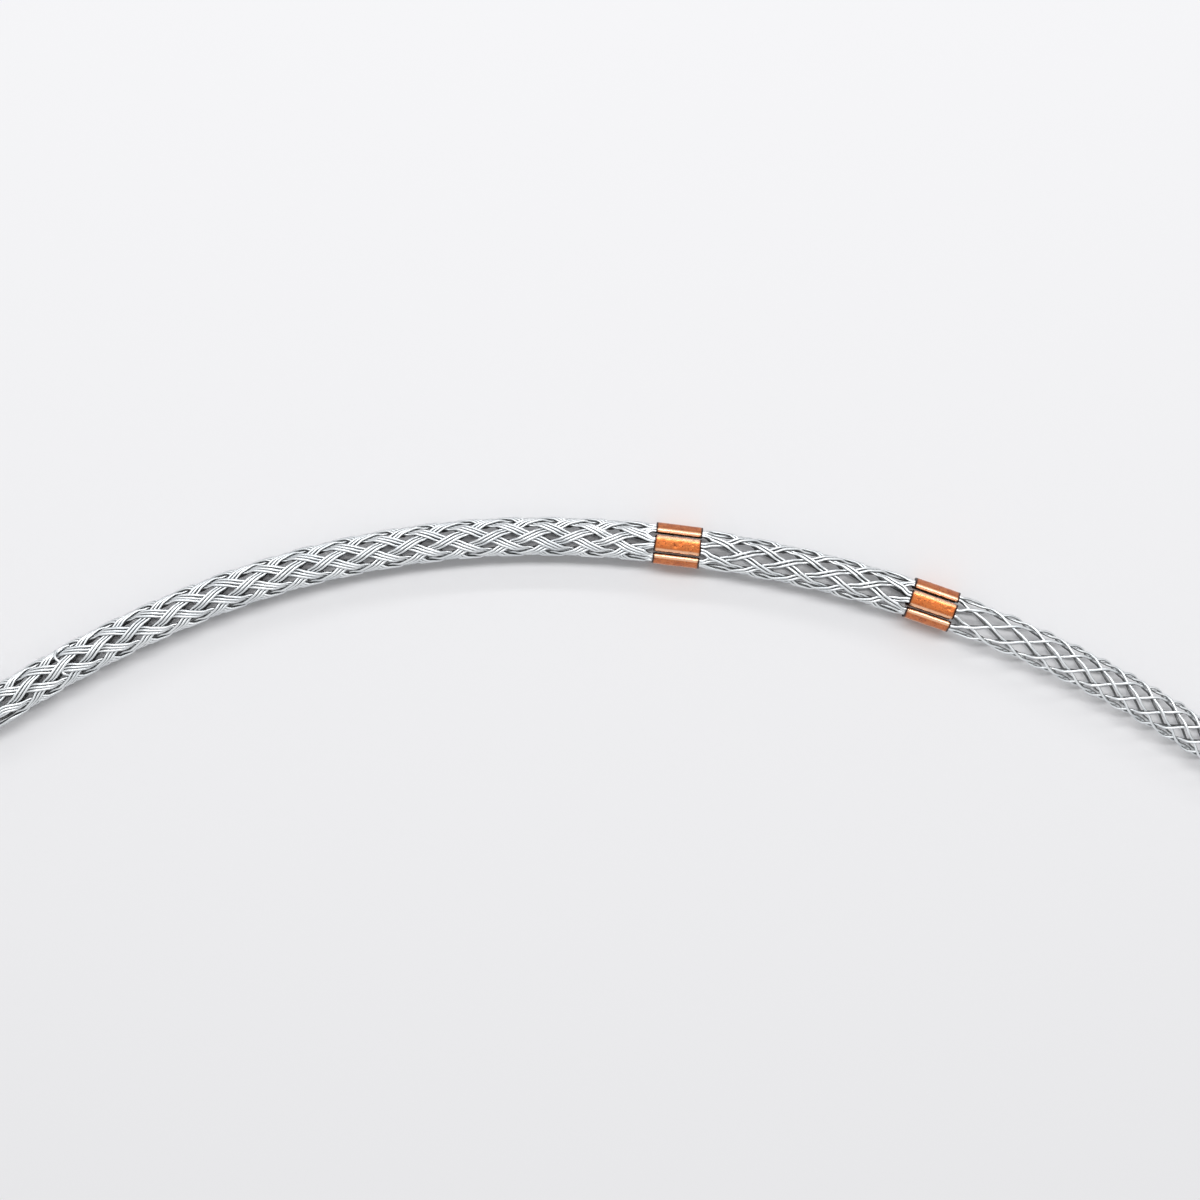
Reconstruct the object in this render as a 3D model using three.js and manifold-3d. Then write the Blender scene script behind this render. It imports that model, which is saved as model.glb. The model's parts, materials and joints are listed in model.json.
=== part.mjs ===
// A cable pulling grip: a long tubular mesh of galvanised wire strands that lies in a gentle bend,
// graded from three wires a strand at the head to one at the mouth, with two rings of copper
// sleeves where wires end, a pressed ferrule at the head and a pulling eye of wire rope.
// Millimetres, +Z up. The origin is the middle of the flat underside of the lowest sleeve in the
// first ring. +X runs from the head towards the mouth, and the grip bends in the XY plane.

import * as THREE from "three";
import Module from "manifold-3d";
import { mergeVertices } from "three/addons/utils/BufferGeometryUtils.js";

const wasm = await Module();
wasm.setup();

// The wires and the weave
const WIRE_DIAMETER = 2.0;
const BORE_RADIUS = 9.8; // the free way through the mesh
const STRANDS_EACH_WAY = 6;
const CROSSING_CLEARANCE = 0.3; // between two strands where they cross
const SINGLE_WIRE_SLACK = 0.25; // a single wire rides this much clear of its neighbour's layer
const FLAT_MARGIN = 0.35; // a strand stays flat this far past the one it crosses
const HEAD_WIRES = 3;
const MIDDLE_WIRES = 2;
const HALVES_GAP = 0.3; // each triple strand is two lengths that meet end to end
const HALVES_MEET_AFTER = -19; // the crossing after which they meet

// Spacing of the crossings along the grip
const HEAD_PITCH = 14.7;
const MIDDLE_PITCH = 15.5;
const MOUTH_PITCH = 9.5;
const MOUTH_SETTLING = 4.5; // crossings over which the single wires close up to that pitch
const HEAD_CROSSINGS = 33;
const MIDDLE_CROSSINGS = 9;
const MOUTH_CROSSINGS = 20;
const MOUTH_TURN_RADIUS = 3.4; // each wire turns back on itself at the open mouth

// The copper sleeves
const SLEEVE_LENGTH = 33.5;
const SLEEVE_WALL = 1.0;
const SLEEVE_EDGE_RADIUS = 2.1;
const SLEEVE_LEAD = 14.7; // from a sleeve's end to the nearest crossing
const MOUTH_LEAD = 12.5;
const SLEEVE_INNER_EDGE_RADIUS = 0.6; // the flattened strands fill the corners
const PACKED_WIDTH = 4.15; // three wires squeezed together inside a sleeve
const PACKED_THICKNESS = 2.4;
const SLEEVE_CLEARANCE = 0.25;
const SLEEVE_INSET = 0.3; // the sleeves stand this far clear of the bore
const STRAND_END_GAP = 1.0; // from the sleeve's middle to a strand's cut end

// The head: the strands close to a cone and end in a pressed ferrule
const CONE_LENGTH = 66;
const FERRULE_LENGTH = 52;
const FERRULE_WALL = 2.9;
const FERRULE_CHAMFER = 1.5;
const FERRULE_CORE_RADIUS = 4.95; // inside the inner layer of strands
const FERRULE_STRAND_DEPTH = 24;
const FERRULE_CLEARANCE = 0.35;
const INNER_END_WIDTH = 5.0; // of a strand, in each layer
const OUTER_END_WIDTH = 5.6;

// The pulling eye
const EYE_ROPE_DIAMETER = 9.0;
const EYE_LEG_SPACING = 10.2;
const EYE_LENGTH = 96; // from the ferrule's end to the middle of the rope at the far turn
const EYE_TURN_RADIUS = 21;
const EYE_LEG_DEPTH = 20;
const EYE_CLEARANCE = 0.3;

// How the grip lies seen from above: its heading at the first ring, and the arcs of its bend with
// the distances along the grip at which one arc follows on from another
const HEADING_AT_RING = THREE.MathUtils.degToRad(-7.13);
const FAR_BEND_RADIUS = 836;
const FAR_BEND_END = -340;
const HEAD_BEND_RADIUS = 652;
const MIDDLE_BEND_START = -65;
const MIDDLE_BEND_RADIUS = 889;
const MIDDLE_BEND_END = 206;
const MOUTH_BEND_RADIUS = 865;

// How finely the round shapes are faceted
const WIRE_SIDES = 5;
const FERRULE_SIDES = 20;
const EYE_SIDES = 5; // to each half of the rope's section
const LEG_BORE_SIDES = 12;
const SLEEVE_CORNER_STEPS = 2;
const TURN_STEPS = 4;
const EYE_STEPS = 36;
const QUARTER_CIRCLE_PULL = 0.5523; // a quarter circle as a cubic curve, in radii
const HEADING_REACH = 0.5; // how far each way the axis is sampled for its direction
const CUTTER_EXTRA = 1; // each cutter runs this far out of the metal
const WELD_DISTANCE = 1e-4;

const GALVANISED = { color: 0xc6cacd, roughness: 0.42, metalness: 0.85 };
const COPPER = { color: 0xd17a45, roughness: 0.38, metalness: 0.9 };
const PRESSED_STEEL = { color: 0xb4b8bb, roughness: 0.5, metalness: 0.85 };

// Sizes that follow from those above
const underRadius = BORE_RADIUS + WIRE_DIAMETER / 2;
const overRadius = underRadius + WIRE_DIAMETER + CROSSING_CLEARANCE;
const middleRadius = (underRadius + overRadius) / 2;
const rowAngle = Math.PI / STRANDS_EACH_WAY;
const sleeveInnerWidth = 2 * PACKED_WIDTH + CROSSING_CLEARANCE + 2 * SLEEVE_CLEARANCE;
const sleeveInnerHeight = PACKED_THICKNESS + 2 * SLEEVE_CLEARANCE;
const sleeveWidth = sleeveInnerWidth + 2 * SLEEVE_WALL;
const sleeveHeight = sleeveInnerHeight + 2 * SLEEVE_WALL;
const sleeveRadius = BORE_RADIUS + SLEEVE_INSET + sleeveHeight / 2;
const axisHeight = sleeveRadius + sleeveHeight / 2;
const innerLayerRadius = FERRULE_CORE_RADIUS + WIRE_DIAMETER / 2;
const outerLayerRadius = innerLayerRadius + WIRE_DIAMETER + CROSSING_CLEARANCE;
const ferruleBore =
  Math.hypot(outerLayerRadius + WIRE_DIAMETER / 2, OUTER_END_WIDTH / 2) + FERRULE_CLEARANCE;
const ferruleRadius = ferruleBore + FERRULE_WALL;

// Crossings of each length of mesh, from the head to the mouth, and the two rings between them.
// Crossing number 0 is inside the first ring of sleeves.
const ringOne = 0;
const headStations = [];
for (let k = HEAD_CROSSINGS - 1; k >= 0; k--) {
  headStations.push(ringOne - SLEEVE_LENGTH / 2 - SLEEVE_LEAD - k * HEAD_PITCH);
}
const middleStations = [];
for (let k = 0; k < MIDDLE_CROSSINGS; k++) {
  middleStations.push(ringOne + SLEEVE_LENGTH / 2 + SLEEVE_LEAD + k * MIDDLE_PITCH);
}
const ringTwo = middleStations[MIDDLE_CROSSINGS - 1] + SLEEVE_LEAD + SLEEVE_LENGTH / 2;
const ringTwoNumber = MIDDLE_CROSSINGS + 1;
const mouthStations = [ringTwo + SLEEVE_LENGTH / 2 + MOUTH_LEAD];
for (let k = 1; k < MOUTH_CROSSINGS; k++) {
  const opening = (MIDDLE_PITCH - MOUTH_PITCH) * Math.exp(-(k - 1) / MOUTH_SETTLING);
  mouthStations.push(mouthStations[k - 1] + MOUTH_PITCH + opening);
}
const ferruleMouth = headStations[0] - CONE_LENGTH;
const ferruleMiddle = ferruleMouth - FERRULE_LENGTH / 2;

// The bend: arcs that follow on from each other on both sides of the first ring
const headwardArcs = [
  [MIDDLE_BEND_START, MIDDLE_BEND_RADIUS],
  [FAR_BEND_END, HEAD_BEND_RADIUS],
  [-Infinity, FAR_BEND_RADIUS],
];
const mouthwardArcs = [
  [MIDDLE_BEND_END, MIDDLE_BEND_RADIUS],
  [Infinity, MOUTH_BEND_RADIUS],
];

function planPoint(distance) {
  const headward = distance < 0;
  const point = new THREE.Vector3();
  let heading = HEADING_AT_RING;
  let start = 0;
  for (const [limit, radius] of headward ? headwardArcs : mouthwardArcs) {
    const end = headward ? Math.max(distance, limit) : Math.min(distance, limit);
    const nextHeading = heading - (end - start) / radius;
    point.x += radius * (Math.sin(heading) - Math.sin(nextHeading));
    point.y += radius * (Math.cos(nextHeading) - Math.cos(heading));
    heading = nextHeading;
    start = end;
  }
  return point;
}

// The axis lies one sleeve above the ground and sinks at the head until the ferrule touches it.
function axisPoint(distance) {
  const point = planPoint(distance);
  const sunk = THREE.MathUtils.smoothstep(-distance, -headStations[0], -ferruleMouth);
  point.z = THREE.MathUtils.lerp(axisHeight, ferruleRadius, sunk);
  return point;
}

function frameAt(distance) {
  const ahead = axisPoint(distance + HEADING_REACH);
  const forward = ahead.sub(axisPoint(distance - HEADING_REACH)).normalize();
  const left = new THREE.Vector3(0, 0, 1).cross(forward).normalize();
  const up = forward.clone().cross(left);
  return { point: axisPoint(distance), forward, left, up };
}

// The same frame carried straight on, for what sits in a straight sleeve or ferrule
function straightOn(frame, length) {
  return { ...frame, point: frame.point.clone().addScaledVector(frame.forward, length) };
}

function outward(frame, angle) {
  const v = frame.up.clone().multiplyScalar(Math.cos(angle));
  return v.addScaledVector(frame.left, -Math.sin(angle));
}

function around(frame, angle) {
  const v = frame.up.clone().multiplyScalar(-Math.sin(angle));
  return v.addScaledVector(frame.left, -Math.cos(angle));
}

function combine(centre, ...terms) {
  const p = centre.clone();
  for (const [vector, amount] of terms) p.addScaledVector(vector, amount);
  return p;
}

function direction(...terms) {
  return combine(new THREE.Vector3(), ...terms);
}

// A closed body through a row of rings that all have the same number of points
function loft(rings) {
  const count = rings[0].length;
  const positions = [];
  for (const ring of rings) {
    for (const p of ring) positions.push(p.x, p.y, p.z);
  }
  const index = [];
  for (let r = 0; r < rings.length - 1; r++) {
    for (let k = 0; k < count; k++) {
      const a = r * count + k;
      const b = r * count + ((k + 1) % count);
      const far = rings[r][k].distanceTo(rings[r + 1][(k + 1) % count]);
      const near = rings[r][(k + 1) % count].distanceTo(rings[r + 1][k]);
      if (far < near) index.push(a, b, b + count, a, b + count, a + count);
      else index.push(a, b, a + count, b, b + count, a + count);
    }
  }
  const last = (rings.length - 1) * count;
  for (let k = 1; k < count - 1; k++) {
    index.push(0, k + 1, k);
    index.push(last, last + k, last + k + 1);
  }
  const geometry = new THREE.BufferGeometry();
  geometry.setAttribute("position", new THREE.Float32BufferAttribute(positions, 3));
  geometry.setIndex(index);
  geometry.computeVertexNormals();
  return geometry;
}

// A flat strand's cross-section: four corners, wound the same way everywhere
function flatRing(centre, side, halfWidth, out, halfThickness) {
  return [
    combine(centre, [side, -halfWidth], [out, -halfThickness]),
    combine(centre, [side, -halfWidth], [out, halfThickness]),
    combine(centre, [side, halfWidth], [out, halfThickness]),
    combine(centre, [side, halfWidth], [out, -halfThickness]),
  ];
}

// A single wire's cross-section
function roundRing(centre, side, out) {
  const ring = [];
  for (let k = 0; k < WIRE_SIDES; k++) {
    const a = Math.PI / 2 - (2 * Math.PI * k) / WIRE_SIDES;
    const reach = WIRE_DIAMETER / 2;
    ring.push(combine(centre, [side, reach * Math.cos(a)], [out, reach * Math.sin(a)]));
  }
  return ring;
}

// turn is +1 for the strands that wind clockwise from the head and -1 for the others.
function strandAngle(number, turn, crossing) {
  return (2 * number + turn * crossing) * rowAngle;
}

// Plain weave: each strand goes over one and under the next. Past the second ring the wires
// take the other order.
function isOver(turn, crossing) {
  const odd = Math.abs(crossing) % 2 === 1;
  const swapped = crossing > ringTwoNumber;
  return (turn > 0) === (odd !== swapped);
}

function layAngle(stations, k) {
  const before = stations[Math.max(k - 1, 0)];
  const after = stations[Math.min(k + 1, stations.length - 1)];
  const steps = Math.min(k + 1, stations.length - 1) - Math.max(k - 1, 0);
  return Math.atan2(middleRadius * rowAngle, (after - before) / steps);
}

// The two ends of the flat stretch at a crossing. Their width runs along the other strand, so the
// flat stretch is no longer than the crossing.
function crossingRings(frame, angle, radius, turn, lay, width) {
  const out = outward(frame, angle);
  const round = around(frame, angle);
  const run = Math.cos(lay);
  const rise = Math.sin(lay);
  const own = direction([frame.forward, run], [round, turn * rise]);
  const side = direction([frame.forward, -turn * run], [round, rise]);
  const halfSkewed = width / 2 / Math.sin(2 * lay);
  const centre = combine(frame.point, [out, radius]);
  return [-1, 1].map((end) => {
    const middle = combine(centre, [own, end * (halfSkewed + FLAT_MARGIN)]);
    return flatRing(middle, side, halfSkewed, out, WIRE_DIAMETER / 2);
  });
}

// Inside a sleeve the two strands lie side by side. They change sides in its middle.
function sleeveOffset(turn, beforeMiddle) {
  const away = PACKED_WIDTH / 2 + CROSSING_CLEARANCE / 2;
  return (beforeMiddle ? -turn : turn) * away;
}

function sleeveRings(ring, angle, turn, beforeMiddle, makeRing) {
  const frame = frameAt(ring);
  const end = beforeMiddle ? -1 : 1;
  const out = outward(frame, angle);
  const round = around(frame, angle);
  const places = [SLEEVE_LENGTH / 2 + STRAND_END_GAP, STRAND_END_GAP];
  const rings = places.map((place) => {
    const at = straightOn(frame, end * place);
    const offset = sleeveOffset(turn, beforeMiddle);
    return makeRing(combine(at.point, [out, sleeveRadius], [round, offset]), round, out);
  });
  return beforeMiddle ? rings : rings.reverse();
}

function packedRing(width, thickness) {
  return (centre, side, out) => flatRing(centre, side, width / 2, out, thickness / 2);
}

// From the ferrule to the first crossing the strand that is on top there stays on top.
function coneRings(number, turn) {
  const firstCrossing = -HEAD_CROSSINGS;
  const angle = strandAngle(number, turn, firstCrossing);
  const over = isOver(turn, firstCrossing);
  const width = HEAD_WIRES * WIRE_DIAMETER;
  const endWidth = over ? OUTER_END_WIDTH : INNER_END_WIDTH;
  const endRadius = over ? outerLayerRadius : innerLayerRadius;
  const startRadius = over ? overRadius : underRadius;
  const ferrule = frameAt(ferruleMouth);
  const places = [
    [straightOn(ferrule, -FERRULE_STRAND_DEPTH), endRadius, endWidth],
    [ferrule, endRadius, endWidth],
    [frameAt(headStations[0] - HEAD_PITCH), startRadius, width],
  ];
  return places.map(([frame, radius, wide]) => {
    const out = outward(frame, angle);
    const round = around(frame, angle);
    const centre = combine(frame.point, [out, radius]);
    return flatRing(centre, round, wide / 2, out, WIRE_DIAMETER / 2);
  });
}

function weaveRings(stations, firstCrossing, number, turn, width) {
  const rings = [];
  stations.forEach((station, k) => {
    const crossing = firstCrossing + k;
    const radius = isOver(turn, crossing) ? overRadius : underRadius;
    const angle = strandAngle(number, turn, crossing);
    const lay = layAngle(stations, k);
    rings.push(...crossingRings(frameAt(station), angle, radius, turn, lay, width));
  });
  return rings;
}

function tripleStrand(number, turn) {
  const width = HEAD_WIRES * WIRE_DIAMETER;
  const ends = packedRing(PACKED_WIDTH, PACKED_THICKNESS);
  const angle = strandAngle(number, turn, 0);
  const cone = coneRings(number, turn);
  const meetAfter = HALVES_MEET_AFTER + HEAD_CROSSINGS;
  const rings = [
    ...cone,
    ...weaveRings(headStations, -HEAD_CROSSINGS, number, turn, width),
    ...sleeveRings(ringOne, angle, turn, true, ends),
  ];
  return cutBetween(rings, cone.length + 2 * meetAfter + 1).map(loft);
}

// Two rows of rings for the lengths before and after a cut halfway between rings k and k + 1
function cutBetween(rings, k) {
  const share = HALVES_GAP / 2 / rings[k][0].distanceTo(rings[k + 1][0]);
  const between = (t) => rings[k].map((p, corner) => p.clone().lerp(rings[k + 1][corner], t));
  return [
    [...rings.slice(0, k + 1), between(0.5 - share)],
    [between(0.5 + share), ...rings.slice(k + 1)],
  ];
}

function doubleStrand(number, turn) {
  const width = MIDDLE_WIRES * WIRE_DIAMETER;
  const ends = packedRing(width, WIRE_DIAMETER);
  const startAngle = strandAngle(number, turn, 0);
  const endAngle = strandAngle(number, turn, ringTwoNumber);
  return loft([
    ...sleeveRings(ringOne, startAngle, turn, false, ends),
    ...weaveRings(middleStations, 1, number, turn, width),
    ...sleeveRings(ringTwo, endAngle, turn, true, ends),
  ]);
}

// A single wire from its sleeve to the last crossing before the mouth
function singleRings(number, turn) {
  const startAngle = strandAngle(number, turn, ringTwoNumber);
  const rings = sleeveRings(ringTwo, startAngle, turn, false, roundRing);
  mouthStations.forEach((station, k) => {
    const crossing = ringTwoNumber + 1 + k;
    const over = isOver(turn, crossing);
    const radius = over ? overRadius + SINGLE_WIRE_SLACK : underRadius - SINGLE_WIRE_SLACK;
    const angle = strandAngle(number, turn, crossing);
    const lay = turn * layAngle(mouthStations, k);
    const frame = frameAt(station);
    const out = outward(frame, angle);
    const round = around(frame, angle);
    const side = direction([round, Math.cos(lay)], [frame.forward, -Math.sin(lay)]);
    rings.push(roundRing(combine(frame.point, [out, radius]), side, out));
  });
  return rings;
}

// The round turn at the mouth joins a clockwise wire to the one that meets it there.
function turnRings(number) {
  const lastStation = mouthStations[MOUTH_CROSSINGS - 1];
  const lay = layAngle(mouthStations, MOUTH_CROSSINGS - 1);
  const rise = middleRadius * rowAngle;
  const centreAhead = (rise * Math.cos(lay) - MOUTH_TURN_RADIUS) / Math.sin(lay);
  const turnAngle = strandAngle(number, 1, ringTwoNumber + MOUTH_CROSSINGS + 1);
  const sweep = Math.PI / 2 - lay;
  const rings = [];
  for (let k = 0; k <= TURN_STEPS; k++) {
    const a = sweep * ((2 * k) / TURN_STEPS - 1);
    const frame = frameAt(lastStation + centreAhead + MOUTH_TURN_RADIUS * Math.cos(a));
    const angle = turnAngle + (MOUTH_TURN_RADIUS * Math.sin(a)) / middleRadius;
    const out = outward(frame, angle);
    const round = around(frame, angle);
    const side = direction([frame.forward, -Math.cos(a)], [round, -Math.sin(a)]);
    rings.push(roundRing(combine(frame.point, [out, middleRadius]), side, out));
  }
  return rings;
}

// The wire that comes back meets the turn from the other side, so its rings run mouth to sleeve
// with their width the other way round.
function mouthWire(number) {
  const crossings = ringTwoNumber + MOUTH_CROSSINGS + 1;
  const partner = number + crossings;
  const back = singleRings(partner, -1).reverse();
  for (const ring of back) {
    const [top, ...others] = ring;
    ring.splice(0, WIRE_SIDES, top, ...others.reverse());
  }
  return loft([...singleRings(number, 1), ...turnRings(number), ...back]);
}

// A crimped oval tube of copper
function roundedOval(width, height, radius, Kind) {
  const shape = new Kind();
  const x = width / 2 - radius;
  const y = height / 2 - radius;
  const quarter = Math.PI / 2;
  shape.absarc(x, y, radius, 0, quarter);
  shape.absarc(-x, y, radius, quarter, 2 * quarter);
  shape.absarc(-x, -y, radius, 2 * quarter, 3 * quarter);
  shape.absarc(x, -y, radius, 3 * quarter, 4 * quarter);
  return shape;
}

function sleeveGeometry() {
  const shape = roundedOval(sleeveWidth, sleeveHeight, SLEEVE_EDGE_RADIUS, THREE.Shape);
  const innerSizes = [sleeveInnerWidth, sleeveInnerHeight, SLEEVE_INNER_EDGE_RADIUS];
  shape.holes.push(roundedOval(...innerSizes, THREE.Path));
  const geometry = new THREE.ExtrudeGeometry(shape, {
    depth: SLEEVE_LENGTH,
    bevelEnabled: false,
    curveSegments: SLEEVE_CORNER_STEPS,
  });
  return geometry.translate(0, 0, -SLEEVE_LENGTH / 2);
}

// Stands a mesh at the frame, its Z along the grip and its Y along out
function place(mesh, frame, out) {
  const side = out.clone().cross(frame.forward);
  mesh.position.copy(frame.point);
  mesh.quaternion.setFromRotationMatrix(new THREE.Matrix4().makeBasis(side, out, frame.forward));
  return mesh;
}

function solidOf(geometry) {
  const bare = geometry.clone();
  bare.deleteAttribute("normal");
  bare.deleteAttribute("uv");
  const merged = mergeVertices(bare, WELD_DISTANCE);
  const vertProperties = Float32Array.from(merged.attributes.position.array);
  const triVerts = Uint32Array.from(merged.index.array);
  return new wasm.Manifold(new wasm.Mesh({ numProp: 3, vertProperties, triVerts }));
}

function geometryOf(solid) {
  const mesh = solid.getMesh();
  const geometry = new THREE.BufferGeometry();
  geometry.setAttribute("position", new THREE.BufferAttribute(mesh.vertProperties, 3));
  geometry.setIndex(new THREE.BufferAttribute(mesh.triVerts, 1));
  geometry.computeVertexNormals();
  return geometry;
}

function cutter(radius, length, sides, x, z) {
  const cylinder = new THREE.CylinderGeometry(radius, radius, length, sides);
  return solidOf(cylinder.rotateX(Math.PI / 2).translate(x, 0, z));
}

// The ferrule, its length along Z with the mesh side at +Z: bored for the strands at one end and
// for the eye's two legs at the other
function ferruleGeometry() {
  const half = FERRULE_LENGTH / 2;
  const profile = [
    [0, -half],
    [ferruleRadius - FERRULE_CHAMFER, -half],
    [ferruleRadius, -half + FERRULE_CHAMFER],
    [ferruleRadius, half - FERRULE_CHAMFER],
    [ferruleRadius - FERRULE_CHAMFER, half],
    [0, half],
  ].map(([r, z]) => new THREE.Vector2(r, z));
  const body = new THREE.LatheGeometry(profile, FERRULE_SIDES).rotateX(Math.PI / 2);
  const strandDepth = FERRULE_STRAND_DEPTH + STRAND_END_GAP + CUTTER_EXTRA;
  const legDepth = EYE_LEG_DEPTH + EYE_CLEARANCE + CUTTER_EXTRA;
  const legRadius = EYE_ROPE_DIAMETER / 2 + EYE_CLEARANCE;
  const legs = EYE_LEG_SPACING / 2;
  const boreMiddle = half + CUTTER_EXTRA - strandDepth / 2;
  const legMiddle = legDepth / 2 - half - CUTTER_EXTRA;
  return geometryOf(
    solidOf(body)
      .subtract(cutter(ferruleBore, strandDepth, FERRULE_SIDES, 0, boreMiddle))
      .subtract(cutter(legRadius, legDepth, LEG_BORE_SIDES, legs, legMiddle))
      .subtract(cutter(legRadius, legDepth, LEG_BORE_SIDES, -legs, legMiddle)),
  );
}

// The eye in the ferrule's own axes: up one leg, round the turn and back down the other
function eyePath() {
  const legX = EYE_LEG_SPACING / 2;
  const legEnd = EYE_LEG_DEPTH - FERRULE_LENGTH / 2;
  const legFoot = -FERRULE_LENGTH / 2 - EYE_ROPE_DIAMETER / 2;
  const turnZ = EYE_TURN_RADIUS - FERRULE_LENGTH / 2 - EYE_LENGTH;
  const farZ = turnZ - EYE_TURN_RADIUS;
  const sweep = (legFoot - turnZ) / 2;
  const pull = QUARTER_CIRCLE_PULL * EYE_TURN_RADIUS;
  const half = [
    [legX, legEnd],
    [legX, legFoot],
    [legX, legFoot - sweep],
    [EYE_TURN_RADIUS, turnZ + sweep],
    [EYE_TURN_RADIUS, turnZ],
    [EYE_TURN_RADIUS, turnZ - pull],
    [pull, farZ],
    [0, farZ],
  ];
  const back = half.slice(0, -1).reverse();
  const points = [
    ...half.map(([x, z]) => new THREE.Vector3(x, 0, z)),
    ...back.map(([x, z]) => new THREE.Vector3(-x, 0, z)),
  ];
  const path = new THREE.CurvePath();
  path.add(new THREE.LineCurve3(points[0], points[1]));
  for (let k = 1; k < points.length - 2; k += 3) {
    path.add(new THREE.CubicBezierCurve3(...points.slice(k, k + 4)));
  }
  path.add(new THREE.LineCurve3(...points.slice(-2)));
  return path;
}

function eyeGeometry() {
  const section = new THREE.Shape();
  section.absarc(0, 0, EYE_ROPE_DIAMETER / 2, 0, 2 * Math.PI);
  return new THREE.ExtrudeGeometry(section, {
    steps: EYE_STEPS,
    curveSegments: EYE_SIDES,
    bevelEnabled: false,
    extrudePath: eyePath(),
  });
}

function named(name, geometry, finish) {
  const mesh = new THREE.Mesh(geometry, new THREE.MeshStandardMaterial(finish));
  mesh.name = name;
  return mesh;
}

function addStrands(group) {
  for (let k = 0; k < STRANDS_EACH_WAY; k++) {
    for (const [way, turn] of [["clockwise", 1], ["counter", -1]]) {
      const [headHalf, ringHalf] = tripleStrand(k, turn);
      group.add(named(`triple_strand_${way}_${k + 1}_head_half`, headHalf, GALVANISED));
      group.add(named(`triple_strand_${way}_${k + 1}_ring_half`, ringHalf, GALVANISED));
      group.add(named(`double_strand_${way}_${k + 1}`, doubleStrand(k, turn), GALVANISED));
    }
    group.add(named(`mouth_wire_${k + 1}`, mouthWire(k), GALVANISED));
  }
}

function addSleeves(group, ringName, ring) {
  const frame = frameAt(ring);
  for (let k = 0; k < STRANDS_EACH_WAY; k++) {
    const angle = 2 * k * rowAngle;
    const out = outward(frame, angle);
    const placed = { ...frame, point: combine(frame.point, [out, sleeveRadius]) };
    const sleeve = named(`${ringName}_sleeve_${k + 1}`, sleeveGeometry(), COPPER);
    group.add(place(sleeve, placed, out));
  }
}

function addHead(group) {
  const mouth = frameAt(ferruleMouth);
  const frame = straightOn(mouth, ferruleMiddle - ferruleMouth);
  const ferrule = named("head_ferrule", ferruleGeometry(), PRESSED_STEEL);
  const eye = named("pulling_eye", eyeGeometry(), GALVANISED);
  group.add(place(ferrule, frame, frame.up), place(eye, frame, frame.up));
}

const grip = new THREE.Group();
grip.name = "cable_pulling_grip";
addStrands(grip);
addSleeves(grip, "first_ring", ringOne);
addSleeves(grip, "second_ring", ringTwo);
addHead(grip);

export default grip;
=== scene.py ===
# The cable pulling grip as it looks: every wire of every strand on its own, pressed copper
# sleeves, a pressed ferrule and an eye of wire rope. Lengths are millimetres until a mesh is
# made, and then metres.

import json
import math

import bmesh
import bpy
from mathutils import Matrix, Vector, noise
from mathutils.kdtree import KDTree

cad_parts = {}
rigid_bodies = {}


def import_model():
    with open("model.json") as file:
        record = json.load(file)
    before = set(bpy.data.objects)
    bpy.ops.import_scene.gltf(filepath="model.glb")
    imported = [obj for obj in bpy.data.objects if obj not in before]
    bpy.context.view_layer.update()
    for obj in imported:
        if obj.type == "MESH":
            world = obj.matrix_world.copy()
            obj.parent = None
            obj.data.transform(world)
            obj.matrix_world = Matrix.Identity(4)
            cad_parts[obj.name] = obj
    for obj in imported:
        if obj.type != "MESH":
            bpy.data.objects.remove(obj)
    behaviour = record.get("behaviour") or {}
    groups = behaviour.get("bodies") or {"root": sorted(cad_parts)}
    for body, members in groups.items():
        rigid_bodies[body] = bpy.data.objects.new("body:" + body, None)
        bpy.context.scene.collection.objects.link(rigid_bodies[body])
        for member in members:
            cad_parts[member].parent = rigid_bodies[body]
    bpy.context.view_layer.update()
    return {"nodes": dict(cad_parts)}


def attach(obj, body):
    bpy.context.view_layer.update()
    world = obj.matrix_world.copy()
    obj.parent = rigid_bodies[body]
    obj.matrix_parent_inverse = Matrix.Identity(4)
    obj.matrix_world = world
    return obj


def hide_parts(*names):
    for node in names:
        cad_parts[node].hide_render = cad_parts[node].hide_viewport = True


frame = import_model()

MM = 0.001

# The wires and the weave, with the sizes that the solids have
WIRE_DIAMETER = 2.0
BORE_RADIUS = 9.8
CROSSING_CLEARANCE = 0.3
STRANDS_EACH_WAY = 6
ROW_ANGLE = math.pi / STRANDS_EACH_WAY
UNDER_RADIUS = BORE_RADIUS + WIRE_DIAMETER / 2
OVER_RADIUS = UNDER_RADIUS + WIRE_DIAMETER + CROSSING_CLEARANCE
MIDDLE_RADIUS = (UNDER_RADIUS + OVER_RADIUS) / 2
ROW_WIDTH = MIDDLE_RADIUS * ROW_ANGLE  # round the grip, from one crossing to the next
STRAND_RISE = 1.07  # of a wire's middle, out of and into the middle of the wall
WIRE_SPACING = {3: 2.07, 2: 2.4}  # between the wires of a strand of three or two
STRAND_FLAT = 0.25  # of the way to the next crossing that a strand stays level
WIRE_FLAT = 0.12
STEP = 1.1  # from one point of a wire to the next

# How hand weaving wanders: how far at most, and over what length it comes back
STRAND_WANDER = (0.6, 45)
WIRE_WANDER = (0.28, 21)
WIRE_RISE_WANDER = (0.12, 14)

# The fine wires laid round each wire
LOBES = 6
WIRE_LAY = 16.0
LAID_RADIUS = WIRE_DIAMETER / 2 + 0.03
LAID_GROOVE = 0.12

# Crossings along the grip, numbered from the first ring
HEAD_PITCH = 14.7
MIDDLE_PITCH = 15.5
MOUTH_PITCH = 9.5
MOUTH_SETTLING = 4.5
FIRST_CROSSING = -33
SECOND_RING = 10
LAST_CROSSING = 30
MOUTH_TURN_RADIUS = 3.4
MOUTH_TURN_STEPS = 8

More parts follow.
